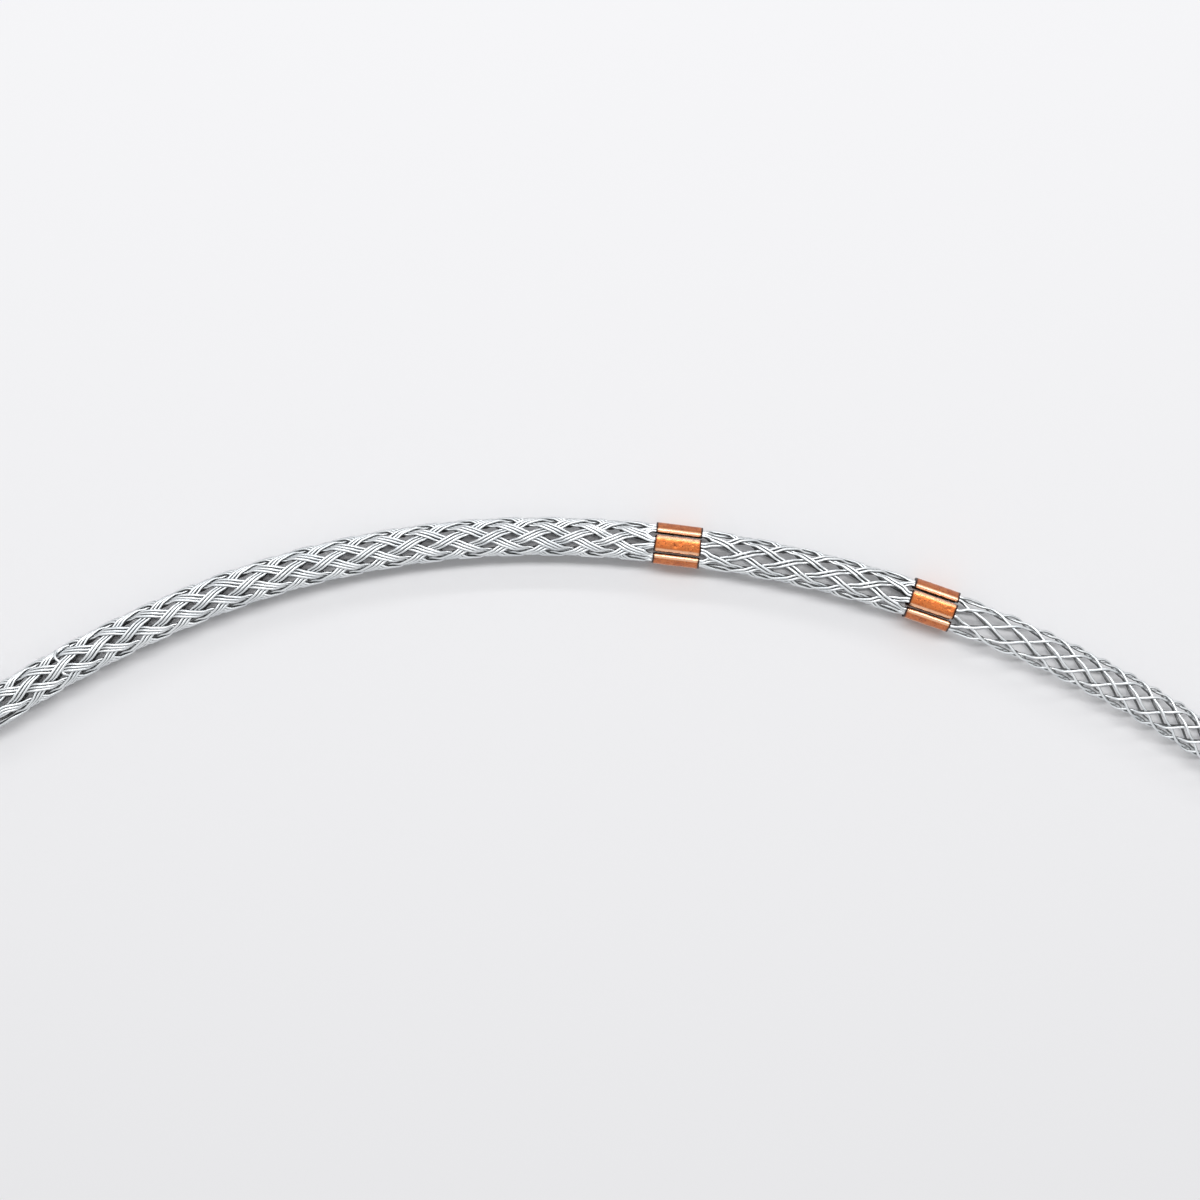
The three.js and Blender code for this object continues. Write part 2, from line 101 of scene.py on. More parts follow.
# The sleeves
SLEEVE_LENGTH = 33.5
SLEEVE_LEAD = 14.7
MOUTH_LEAD = 12.5
SLEEVE_RADIUS = 12.55
SLEEVE_WIDTH = 11.25
SLEEVE_HEIGHT = 4.9
SLEEVE_WALL = 0.7
SLEEVE_ROUNDNESS = 3.3  # 2 is an ellipse, and more is squarer
STRAND_END_GAP = 1.0
PACKED_WIDTH = 4.15
PACKED_SPACING = 1.075
PACKED_RISE = 0.6  # of the middle wire of three, outwards, and of its neighbours, inwards
SLEEVE_GATHERING = 7.0  # over which a strand's wires close up before a sleeve

# How a sleeve is left by the die: waves along it, crooked ends drawn in a little, and dents
DIE_WAVE = 0.07
DIE_WAVE_LENGTH = 7.6
SLEEVE_WIDTH_WANDER = (0.25, 9)
SLEEVE_SAG_WANDER = (0.22, 12)
SLEEVE_END_WANDER = (0.5, 6)
DRAWN_IN = 0.1
DRAWN_IN_LENGTH = 1.2
DENTS = 18
DENT_SIZES = (0.4, 1.2)
DENTED_LENGTH = 0.97 * SLEEVE_LENGTH
DENT_DEPTH = 0.16
SURFACE_ROUGHNESS = 0.05
SURFACE_ROUGHNESS_LENGTH = 1.4
SLEEVE_EDGE = 0.16
SHOULDER = (0.6, 0.82)  # where the pale shoulder, rubbed copper and painted highlight, starts and is full, of the way from the middle to the side

# The head
CONE_LENGTH = 66
FERRULE_LENGTH = 52
FERRULE_RADIUS = 12.91
FERRULE_BORE = 10.0
FERRULE_CHAMFER = 1.5
BORE_CHAMFER = 0.4
STRAND_DEPTH = 24
FERRULE_BAND_SPACING = 15.5
FERRULE_BAND_WIDTH = 13.2
FERRULE_BAND_SIDES = 6
FERRULE_PRESS = 1.1
FERRULE_PRESS_RUNOUT = 0.8
FERRULE_ROWS = 44
FERRULE_EDGE = 0.25
INNER_LAYER_RADIUS = 5.95
OUTER_LAYER_RADIUS = 8.25
INNER_LAYER_WIDTH = 5.0  # of a strand whose wires are packed in this layer
OUTER_LAYER_WIDTH = 5.6
CONE_SWING = 9.0  # over which a strand turns from its lay to straight on
CONE_CLOSED = 6.0  # before the ferrule, where the strands are packed already
EYE_LEG_SPACING = 10.2
EYE_LENGTH = 96
EYE_TURN_RADIUS = 21
EYE_LEG_DEPTH = 20
EYE_ROPE_DIAMETER = 9.0
EYE_STEP = 2.0
ROPE_STRAND = 3.0
ROPE_STRANDS = 6  # round a middle one
ROPE_LAY = 62.0
ROPE_STRAND_LAY = 18.0
ROPE_STRAND_GROOVE = 0.22

# How the grip lies
HEADING_AT_RING = math.radians(-7.13)
HEADWARD_ARCS = ((-65, 889), (-340, 652), (-math.inf, 836))
MOUTHWARD_ARCS = ((206, 889), (math.inf, 865))
AXIS_HEIGHT = 15.0
AXIS_STEP = 3.0
AXIS_PAST_MESH = 30.0

# What the camera sees of the table, and the lamps, whose places are in metres
PIXEL = 0.714
VIEW_WIDTH = 1200 * PIXEL
VIEW_MIDDLE = (-55.36, -39.03)
VIEW_HEIGHT = 20.0  # above the table, where the view is this wide
LENS = 100
SENSOR = 36
LIT_MIDDLE = (-0.05, -0.04, 0)
OVERHEAD_PLACE = (-0.05, 1.2, 3.5)
STRIP_PLACE = (-0.05, 2.7, 2.4)

# How dark the painted shade is, from 0 to 1, and the attributes that hand this to the materials
PAINTED_SHADE = "painted_shade"
RUBBED_AND_HIGHLIGHT = "rubbed_and_highlight"  # how much a point of a sleeve is rubbed clean and painted pale as a highlight
OWN_PLACE = "own_place"  # where a point of a sleeve is in the sleeve's own axes
GROOVE_SHADE_REACH = 0.32  # how far up a wire's side the painted shade of a groove reaches, of its radius
# How dark the painted shade gets on a wire's side that faces the bore
BORE_SHADE = 0.85
# How far in from a sleeve's ends its painted shade reaches
SLEEVE_END_SHADE = 1.9


def smoothstep(t):
    t = min(max(t, 0.0), 1.0)
    return t * t * (3 - 2 * t)


def mix(a, b, t):
    return a + (b - a) * t


# The bend


def plan_point(distance):
    """Where the middle of the grip is, seen from above."""
    headward = distance < 0
    x = y = start = 0.0
    heading = HEADING_AT_RING
    for limit, radius in HEADWARD_ARCS if headward else MOUTHWARD_ARCS:
        end = max(distance, limit) if headward else min(distance, limit)
        next_heading = heading - (end - start) / radius
        x += radius * (math.sin(heading) - math.sin(next_heading))
        y += radius * (math.cos(next_heading) - math.cos(heading))
        heading = next_heading
        start = end
    return x, y


def axis_point(distance):
    """The middle of the grip, which sinks at the head until the ferrule lies on the table."""
    x, y = plan_point(distance)
    sunk = smoothstep((STATIONS[FIRST_CROSSING] - distance) / CONE_LENGTH)
    return Vector((x, y, mix(AXIS_HEIGHT, FERRULE_RADIUS, sunk)))


def frame_at(distance):
    """The middle of the grip there, and the directions forward, left and up."""
    forward = (axis_point(distance + 0.5) - axis_point(distance - 0.5)).normalized()
    left = Vector((0, 0, 1)).cross(forward).normalized()
    return axis_point(distance), forward, left, forward.cross(left)


def find_stations():
    """How far along the grip each crossing is, from the first ring."""
    stations = {0: 0.0}
    edge = SLEEVE_LENGTH / 2
    for k in range(-FIRST_CROSSING):
        stations[-1 - k] = -edge - SLEEVE_LEAD - k * HEAD_PITCH
    for k in range(SECOND_RING - 1):
        stations[1 + k] = edge + SLEEVE_LEAD + k * MIDDLE_PITCH
    stations[SECOND_RING] = stations[SECOND_RING - 1] + SLEEVE_LEAD + edge
    stations[SECOND_RING + 1] = stations[SECOND_RING] + edge + MOUTH_LEAD
    for crossing in range(SECOND_RING + 2, LAST_CROSSING + 1):
        opening = math.exp(-(crossing - SECOND_RING - 2) / MOUTH_SETTLING)
        pitch = MOUTH_PITCH + (MIDDLE_PITCH - MOUTH_PITCH) * opening
        stations[crossing] = stations[crossing - 1] + pitch
    return stations


STATIONS = find_stations()
FERRULE_MOUTH = STATIONS[FIRST_CROSSING] - CONE_LENGTH


def station_slope(crossing):
    """Millimetres per crossing at a whole crossing, from the pitches on both sides of it."""
    before = STATIONS[crossing] - STATIONS.get(crossing - 1, STATIONS[crossing])
    after = STATIONS.get(crossing + 1, STATIONS[crossing]) - STATIONS[crossing]
    if not before or not after:
        return before + after
    return 2 * before * after / (before + after)


def station(p):
    """Distance along the grip where a strand is p crossings on, for any p."""
    low = min(max(math.floor(p), FIRST_CROSSING), LAST_CROSSING - 1)
    t = p - low
    a, b = STATIONS[low], STATIONS[low + 1]
    slope_a, slope_b = station_slope(low), station_slope(low + 1)
    return (
        a * (1 - t) ** 2 * (1 + 2 * t)
        + b * t * t * (3 - 2 * t)
        + slope_a * t * (1 - t) ** 2
        - slope_b * t * t * (1 - t)
    )


def pitch_at(p):
    """Millimetres per crossing, anywhere between crossings."""
    return (station(p + 0.02) - station(p - 0.02)) / 0.04


# The weave


def is_over(turn, crossing):
    """Whether a strand lies outermost at a crossing. The beat changes at the second ring."""
    odd = crossing % 2 == 1
    return (turn > 0) == (odd != (crossing > SECOND_RING))


def rise_at(turn, p, level):
    """How far out of the wall's middle a strand runs, from 1 (over) to -1 (under)."""
    low = math.floor(p)
    before = 1 if is_over(turn, low) else -1
    after = 1 if is_over(turn, low + 1) else -1
    return mix(before, after, smoothstep((p - low - level) / (1 - 2 * level)))


def wander(distance, seed, drift):
    """A slow drift, of at most so many millimetres over some length, the same for each seed."""
    size, reach = drift
    return size * noise.noise(Vector((distance / reach, seed * 7.31, seed * 3.17)))


def in_sleeve(distance):
    """1 inside a sleeve, falling to 0 where the weave begins, with the nearer ring's place."""
    ring = min((0, SECOND_RING), key=lambda r: abs(distance - STATIONS[r]))
    past = abs(distance - STATIONS[ring]) - SLEEVE_LENGTH / 2 - 1
    return 1 - smoothstep(past / SLEEVE_GATHERING), ring


def wire_places(count):
    """For each wire of a strand: its offset in the weave, and its place packed in a sleeve."""
    middle = (count - 1) / 2
    for k in range(count):
        offset = (k - middle) * WIRE_SPACING[count]
        if count == 3:
            yield offset, (k - 1) * PACKED_SPACING, PACKED_RISE if k == 1 else -PACKED_RISE
        else:
            yield offset, (k - middle) * WIRE_DIAMETER, 0.0


def woven_place(number, turn, p, offset, packed, lift, level, seed):
    """Distance along the grip, angle round it and radius of one wire at p crossings."""
    distance = station(p)
    lay = math.atan2(ROW_WIDTH, pitch_at(p))
    sleeve, ring = in_sleeve(distance)
    free = 1 - sleeve
    strand_drift = wander(distance, number + 3 * turn, STRAND_WANDER)
    shift = offset + free * (strand_drift + wander(distance, seed, WIRE_WANDER))
    run = pitch_at(p) / math.cos(lay)
    met = p + turn * shift / math.tan(2 * lay) / run
    level_radius = MIDDLE_RADIUS + STRAND_RISE * rise_at(turn, met, level)
    level_radius += wander(distance, seed + 50, WIRE_RISE_WANDER)
    angle = (2 * number + turn * p) * ROW_ANGLE + shift * math.cos(lay) / level_radius
    aside = (PACKED_WIDTH + CROSSING_CLEARANCE) / 2
    beside = turn * math.copysign(aside, distance - STATIONS[ring])
    sleeve_angle = (2 * number + turn * ring) * ROW_ANGLE + (beside + packed) / SLEEVE_RADIUS
    return (
        distance - turn * shift * math.sin(lay) * free,
        mix(angle, sleeve_angle, sleeve),
        mix(level_radius, SLEEVE_RADIUS + lift, sleeve),
    )


def crossings_between(start, end, step):
    """Crossing counts from start to end, about step millimetres apart along a strand."""
    p = start
    while p < end:
        yield p
        p += step / math.hypot(pitch_at(p), ROW_WIDTH)
    yield end


def beside_ring(ring, side):
    """The crossing count just short of (side -1) or past (side 1) the middle of a ring."""
    return ring + side * STRAND_END_GAP / station_slope(ring)


def on_grip(distance, angle, radius):
    """The point at this distance along the grip, angle round it and radius."""
    centre, _, left, up = frame_at(distance)
    return centre + radius * (math.cos(angle) * up - math.sin(angle) * left)


def cone_places(woven, number, turn, offset, step):
    """From inside the ferrule to the first crossing, in front of an already woven wire."""
    start = STATIONS[FIRST_CROSSING]
    outer = is_over(turn, FIRST_CROSSING)
    layer = OUTER_LAYER_RADIUS if outer else INNER_LAYER_RADIUS
    packed = (OUTER_LAYER_WIDTH if outer else INNER_LAYER_WIDTH) - WIRE_DIAMETER
    first_distance, first_angle, first_radius = woven[0]
    slope = turn * ROW_WIDTH / HEAD_PITCH
    centre = (2 * number + turn * FIRST_CROSSING) * ROW_ANGLE
    length = first_distance - (FERRULE_MOUTH - STRAND_DEPTH)
    steps = max(2, round(length / step))
    for k in range(steps):
        distance = first_distance - length + length * k / steps
        back = distance - first_distance
        closed = smoothstep((start - distance) / (CONE_LENGTH - CONE_CLOSED))
        radius = mix(first_radius, layer, closed)
        closed_angle = centre + offset / WIRE_SPACING[3] / 2 * packed / layer
        swing = slope * back * math.exp(-((back / CONE_SWING) ** 2)) / MIDDLE_RADIUS
        yield distance, mix(first_angle, closed_angle, closed) + swing, radius


def woven_wires(number, turn, count, start, end, seed):
    """For each wire of a strand: its offset, and its places from one crossing to another."""
    crossings = list(crossings_between(start, end, STEP))
    for k, (offset, packed, lift) in enumerate(wire_places(count)):
        own = seed + 6 * number + k + 40 * (turn > 0)
        yield offset, [
            woven_place(number, turn, p, offset, packed, lift, STRAND_FLAT, own) for p in crossings
        ]


def triple_wires(number, turn):
    """The three wires of a strand, from inside the ferrule to the first ring."""
    wires = []
    for offset, woven in woven_wires(number, turn, 3, FIRST_CROSSING, beside_ring(0, -1), 11):
        places = [*cone_places(woven, number, turn, offset, STEP), *woven]
        wires.append([on_grip(*place) for place in places])
    return wires


def double_wires(number, turn):
    """The two wires of a strand, from the first ring to the second."""
    strand = woven_wires(number, turn, 2, beside_ring(0, 1), beside_ring(SECOND_RING, -1), 111)
    return [[on_grip(*place) for place in woven] for _, woven in strand]


def single_places(number, turn):
    """Places of a single wire, from the second ring to the last crossing."""
    seed = 211 + number + 40 * (turn > 0)
    counts = crossings_between(beside_ring(SECOND_RING, 1), LAST_CROSSING, STEP)
    return [woven_place(number, turn, p, 0, 0, 0, WIRE_FLAT, seed) for p in counts]


def mouth_wire(number):
    """One wire: along the mesh, round the turn at the open mouth and back on the other lay."""
    lay = math.atan2(ROW_WIDTH, pitch_at(LAST_CROSSING))
    ahead = (ROW_WIDTH * math.cos(lay) - MOUTH_TURN_RADIUS) / math.sin(lay)
    centre = STATIONS[LAST_CROSSING] + ahead
    middle_angle = (2 * number + LAST_CROSSING + 1) * ROW_ANGLE
    sweep = math.pi / 2 - lay
    turn_places = []
    for k in range(MOUTH_TURN_STEPS + 1):
        a = sweep * (2 * k / MOUTH_TURN_STEPS - 1)
        angle = middle_angle + MOUTH_TURN_RADIUS * math.sin(a) / MIDDLE_RADIUS
        turn_places.append((centre + MOUTH_TURN_RADIUS * math.cos(a), angle, MIDDLE_RADIUS))
    out = single_places(number, 1)
    back = single_places(number + LAST_CROSSING + 1, -1)[::-1]
    places = [
        *out,
        *straight_between(out[-1], turn_places[0]),
        *turn_places,
        *straight_between(turn_places[-1], back[0]),
        *back,
    ]
    return [on_grip(*place) for place in places]


def smooth_through(points, steps):
    """A smooth line through these points, with this many steps from each to the next."""
    ends = [points[0], *points, points[-1]]
    for a, b, c, d in zip(ends, ends[1:], ends[2:], ends[3:]):
        for k in range(steps):
            t = k / steps
            yield tuple(
                (2 * q + (r - p) * t + (2 * p - 5 * q + 4 * r - s) * t * t
                 + (3 * q - p - 3 * r + s) * t ** 3) / 2
                for p, q, r, s in zip(a, b, c, d)
            )
    yield points[-1]


# A wire that has worked loose near the head: distance along the grip, degrees round it from the
# top, and radius. It curls out over the gap, under a strand, and shows again in the next gap.
LOOSE_WIRE = (
    (-444.5, -71, 12.2),
    (-449.5, -66, 13.4),
    (-453.5, -59, 13.9),
    (-455.7, -47, 13.9),
    (-456.3, -35, 13.5),
    (-455.5, -24, 12.4),
    (-453.8, -15, 11.0),
    (-454.5, 2, 10.7),
    (-457.0, 18, 11.0),
    (-455.9, 28, 11.6),
    (-453.6, 42, 11.4),
    (-450.2, 60, 10.8),
)


def loose_wire():
    places = smooth_through(LOOSE_WIRE, 5)
    return [on_grip(distance, math.radians(a), radius) for distance, a, radius in places]


def straight_between(a, b):
    """Places on the straight way from one to the other, on the mesh laid out flat."""
    steps = 7
    for k in range(1, steps):
        t = k / steps
        yield mix(a[0], b[0], t), mix(a[1], b[1], t), mix(a[2], b[2], smoothstep(t))


# Making meshes

work = bpy.data.collections.new("work")
bpy.context.scene.collection.children.link(work)


def wire_section(radius, lobes, depth):
    """A wire's cross-section as a closed curve. The lobes are the fine wires laid round it."""
    count = 2 * lobes
    curve = bpy.data.curves.new("wire section", "CURVE")
    curve.dimensions = "2D"
    spline = curve.splines.new("POLY")
    spline.points.add(count - 1)
    for k, point in enumerate(spline.points):
        a = 2 * math.pi * k / count
        reach = (radius if k % 2 == 0 else radius - depth) * MM
        point.co = (reach * math.cos(a), reach * math.sin(a), 0, 1)
    spline.use_cyclic_u = True
    section = bpy.data.objects.new("wire section", curve)
    work.objects.link(section)
    return section


def wires_mesh(name, wires, section, lay, radius=WIRE_DIAMETER / 2):
    """Sweeps the section along every wire, turned once in each lay, as one mesh."""
    curve = bpy.data.curves.new(name, "CURVE")
    curve.dimensions = "3D"
    curve.twist_mode = "MINIMUM"
    curve.bevel_mode = "OBJECT"
    curve.bevel_object = section
    curve.use_fill_caps = True
    for wire in wires:
        spline = curve.splines.new("POLY")
        spline.points.add(len(wire) - 1)
        travelled = 0.0
        for k, (point, place) in enumerate(zip(spline.points, wire)):
            if k:
                travelled += (place - wire[k - 1]).length
            point.co = (*(place * MM), 1)
            point.tilt = 2 * math.pi * travelled / lay
    swept = bpy.data.objects.new(name, curve)
    work.objects.link(swept)
    depsgraph = bpy.context.evaluated_depsgraph_get()
    mesh = bpy.data.meshes.new_from_object(swept.evaluated_get(depsgraph), depsgraph=depsgraph)
    bpy.data.objects.remove(swept)
    bm = bmesh.new()
    bm.from_mesh(mesh)
    bmesh.ops.remove_doubles(bm, verts=bm.verts, dist=0.002 * MM)
    # Paints shade into the grooves between wires and on the side that faces the bore
    paint_shade(bm, wires, radius)
    return finish_mesh(mesh, bm)


def tree_of(points):
    """For finding which of these points is the nearest to a place."""
    tree = KDTree(len(points))
    for k, point in enumerate(points):
        tree.insert(point, k)
    tree.balance()
    return tree


def axis_tree():
    """For finding the point of the grip's middle that is nearest to a place."""
    length = STATIONS[LAST_CROSSING] + AXIS_PAST_MESH - FERRULE_MOUTH
    count = round(length / AXIS_STEP)
    return tree_of([axis_point(FERRULE_MOUTH + AXIS_STEP * k) for k in range(count)])


AXIS = axis_tree()


def paint_shade(bm, wires, radius):
    """Paints shade: dark in the grooves between wires side by side, and on the side that faces the
    bore.
    """
    trees = [tree_of(wire) for wire in wires]
    layer = bm.verts.layers.float.new(PAINTED_SHADE)
    for vert in bm.verts:
        place = vert.co / MM
        near = sorted((tree.find(place) for tree in trees), key=lambda found: found[2])
        middle = near[0][0]
        to_axis = AXIS.find(middle)[0] - middle
        painted_shade = 0.0
        # Painted shade on the side of a wire that faces the bore
        if to_axis.length < OVER_RADIUS + 1:
            inward = (place - middle).dot(to_axis.normalized()) / radius
            painted_shade = BORE_SHADE * smoothstep((inward + 0.05) / 0.6)
        # Painted shade in the groove beside the next wire
        if len(near) > 1:
            from_side = near[1][2] - (near[1][0] - middle).length + radius
            painted_shade = max(painted_shade, smoothstep((GROOVE_SHADE_REACH * radius - from_side) / 0.35))
        vert[layer] = painted_shade


def finish_mesh(mesh, bm):
    """Turns the faces outwards, shades them smooth except flat caps, and fills the mesh."""
    bmesh.ops.recalc_face_normals(bm, faces=bm.faces)
    for face in bm.faces:
        face.smooth = len(face.verts) < 5
    bm.to_mesh(mesh)
    bm.free()
    return mesh


def add_piece(name, mesh, material, slot, *nodes):
    """A finished piece, in the place of these nodes of the solids."""
    mesh.materials.clear()
    mesh.materials.append(material)
    piece = bpy.data.objects.new(name, mesh)
    bpy.context.scene.collection.objects.link(piece)
    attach(piece, "root")
    if nodes:
        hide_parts(*nodes)
    return piece


# Materials


def colour(hex_code):
    """An sRGB hex colour as the linear colour that the shaders take."""
    channels = [int(hex_code[k : k + 2], 16) / 255 for k in (1, 3, 5)]
    linear = [c / 12.92 if c <= 0.04045 else ((c + 0.055) / 1.055) ** 2.4 for c in channels]
    return (*linear, 1.0)


def add_node(owner, kind, output=None, **settings):
    """Adds a shader node to a material or world, and gives its named or else its first output.

    Settings go by the node's property names, and inputs by their names with spaces as _."""
    node = owner.node_tree.nodes.new(kind)
    for name, value in settings.items():
        if hasattr(node, name):
            setattr(node, name, value)
            continue
        open_sockets = [s for s in node.inputs if s.enabled]
        socket = next(s for s in open_sockets if name in (s.identifier, s.name.replace(" ", "_")))
        if isinstance(value, bpy.types.NodeSocket):
            owner.node_tree.links.new(value, socket)
        else:
            socket.default_value = value
    return next((s for s in node.outputs if s.enabled and output in (None, s.name)), None)


def per_size(millimetres):
    """The noise scale that gives a pattern of about this size."""
    return 1 / (millimetres * MM)


def new_material(name):
    material = bpy.data.materials.new(name)
    material.use_nodes = True
    material.node_tree.nodes.clear()
    return material


def patches(material, size, detail, low, high, place=None):
    """A noise of this size in millimetres, spread so that low and high of it are 0 and 1."""
    place = place or add_node(material, "ShaderNodeTexCoord", "Object")
    spots = add_node(
        material, "ShaderNodeTexNoise", "Fac", Vector=place, Scale=per_size(size), Detail=detail
    )
    return add_node(material, "ShaderNodeMapRange", Value=spots, From_Min=low, From_Max=high)


def layered(material, ground, layers):
    """A ground colour under layers, each with where it is, how dense at most, and its colour."""
    tone = colour(ground)
    for cover, most, hex_code in layers:
        dense = add_node(material, "ShaderNodeMapRange", Value=cover, To_Max=most)
        tone = add_node(
            material, "ShaderNodeMix", data_type="RGBA", Factor=dense, A=tone, B=colour(hex_code)
        )
    return tone


def finish_material(material, **inputs):
    shader = add_node(material, "ShaderNodeBsdfPrincipled", **inputs)
    add_node(material, "ShaderNodeOutputMaterial", Surface=shader)
    return material


def galvanised(name, bright, dull, smooth, rough):
    """Zinc on steel wire: pale and satin, with duller cloudy stretches and a fine grain that
    keep a bright wire from looking like chrome. Painted shade, dark in the grooves and on
    the bore side, draws each wire apart. The grain of zinc is finer than this, and is drawn
    0.35 mm coarse to show close up."""
    m = new_material(name)
    clouds = patches(m, 16, 4, 0.35, 0.65)
    grain = patches(m, 0.35, 2, 0.3, 0.7)
    # Painted shade: the near-black layer darkens the grooves and the bore side
    painted_shade = add_node(m, "ShaderNodeAttribute", "Fac", attribute_name=PAINTED_SHADE)
    return finish_material(
        m,
        Base_Color=layered(m, bright, ((clouds, 1, dull), (painted_shade, 1, "#2c2b2a"))),
        Metallic=1.0,
        Roughness=add_node(m, "ShaderNodeMapRange", Value=clouds, To_Min=smooth, To_Max=rough),
        Normal=add_node(m, "ShaderNodeBump", Height=grain, Strength=0.12, Distance=0.02 * MM),
    )


def pressed_copper():
    """Bare copper, drawn and pressed: warm orange with redder, browner handling stains, small
    dark pits from the press, and lines drawn along the sleeve, which are finer on the real one
    and are drawn 0.5 mm apart to show. Its shoulders are pale, partly as copper rubbed clean
    and partly as a painted highlight, and a trace of the press's oil makes their highlights
    paler still. The sleeve's ends and underside are darkened as painted shade."""
    m = new_material("pressed copper")
    place = add_node(m, "ShaderNodeAttribute", "Vector", attribute_name=OWN_PLACE)
    drawn = add_node(m, "ShaderNodeMapping", Vector=place, Scale=(1, 1, 0.16))
    stains = patches(m, 4.5, 5, 0.42, 0.66, place)
    lines = patches(m, 0.5, 2, 0.35, 0.65, drawn)
    blotches = patches(m, 1.3, 3, 0.54, 0.7, place)
    pits = patches(m, 1.1, 1, 0.7, 0.74, place)
    # Painted highlight, partly rubbed copper: paler shoulders
    rubbed_and_highlight = add_node(m, "ShaderNodeAttribute", "Fac", attribute_name=RUBBED_AND_HIGHLIGHT)
    # Painted shade at the sleeve's ends and on its underside
    painted_shade = add_node(m, "ShaderNodeAttribute", "Fac", attribute_name=PAINTED_SHADE)
    layers = (
        (stains, 1, "#bb632e"),
        (lines, 0.5, "#a0522a"),
        (blotches, 0.9, "#7c381f"),
        # pale shoulders: partly rubbed copper, partly a painted highlight
        (rubbed_and_highlight, 0.8, "#f8cba8"),
        (pits, 1, "#3a170d"),
        # painted shade at the sleeve's ends and underside
        (painted_shade, 1, "#2a120b"),
    )
    grooves = add_node(m, "ShaderNodeBump", Height=lines, Strength=0.25, Distance=0.03 * MM)
    pressed = add_node(
        m,
        "ShaderNodeBump",
        Height=blotches,
        Strength=0.4,
        Distance=0.1 * MM,
        invert=True,
        Normal=grooves,
    )
    return finish_material(
        m,
        Base_Color=layered(m, "#d47b41", layers),
        Metallic=1.0,
        Roughness=add_node(m, "ShaderNodeMapRange", Value=stains, To_Min=0.22, To_Max=0.34),
        Coat_Weight=0.25,
        Coat_Roughness=0.14,
        Normal=pressed,
    )


zinc_strand = galvanised("galvanised strand wire", "#e4e7e9", "#d2d6d9", 0.3, 0.42)
zinc_wire = galvanised("galvanised single wire", "#e6e9eb", "#d6dadd", 0.28, 0.4)
zinc_rope = galvanised("galvanised rope", "#cfd3d6", "#b4babf", 0.4, 0.55)
pressed_steel = galvanised("pressed steel", "#b9bdc0", "#a0a5a9", 0.42, 0.58)
copper = pressed_copper()

# The mesh of wires

fine_section = wire_section(LAID_RADIUS, LOBES, LAID_GROOVE)

for k in range(STRANDS_EACH_WAY):
    for way, turn in (("clockwise", 1), ("counter", -1)):
        for wires, maker in (("triple", triple_wires), ("double", double_wires)):
            node = f"{wires}_strand_{way}_{k + 1}"
            nodes = [n for n in frame["nodes"] if n.startswith(node)]
            mesh = wires_mesh(f"{node}_wires", maker(k, turn), fine_section, WIRE_LAY)
            add_piece(f"{node}_wires", mesh, zinc_strand, "galvanised_strand", *nodes)
    node = f"mouth_wire_{k + 1}"
    mesh = wires_mesh(f"{node}_laid", [mouth_wire(k)], fine_section, WIRE_LAY)
    add_piece(f"{node}_laid", mesh, zinc_wire, "galvanised_wire", node)

mesh = wires_mesh("loose_wire", [loose_wire()], fine_section, WIRE_LAY)
add_piece("loose_wire", mesh, zinc_strand, "galvanised_strand")

# The copper sleeves


def rounded_reach(angle, half_width, half_height):
    """A point of a rounded oval, on the ray from its middle at this angle."""
    x, y = math.cos(angle), math.sin(angle)
    power = SLEEVE_ROUNDNESS
    reach = (abs(x / half_width) ** power + abs(y / half_height) ** power) ** (-1 / power)
    return x * reach, y * reach


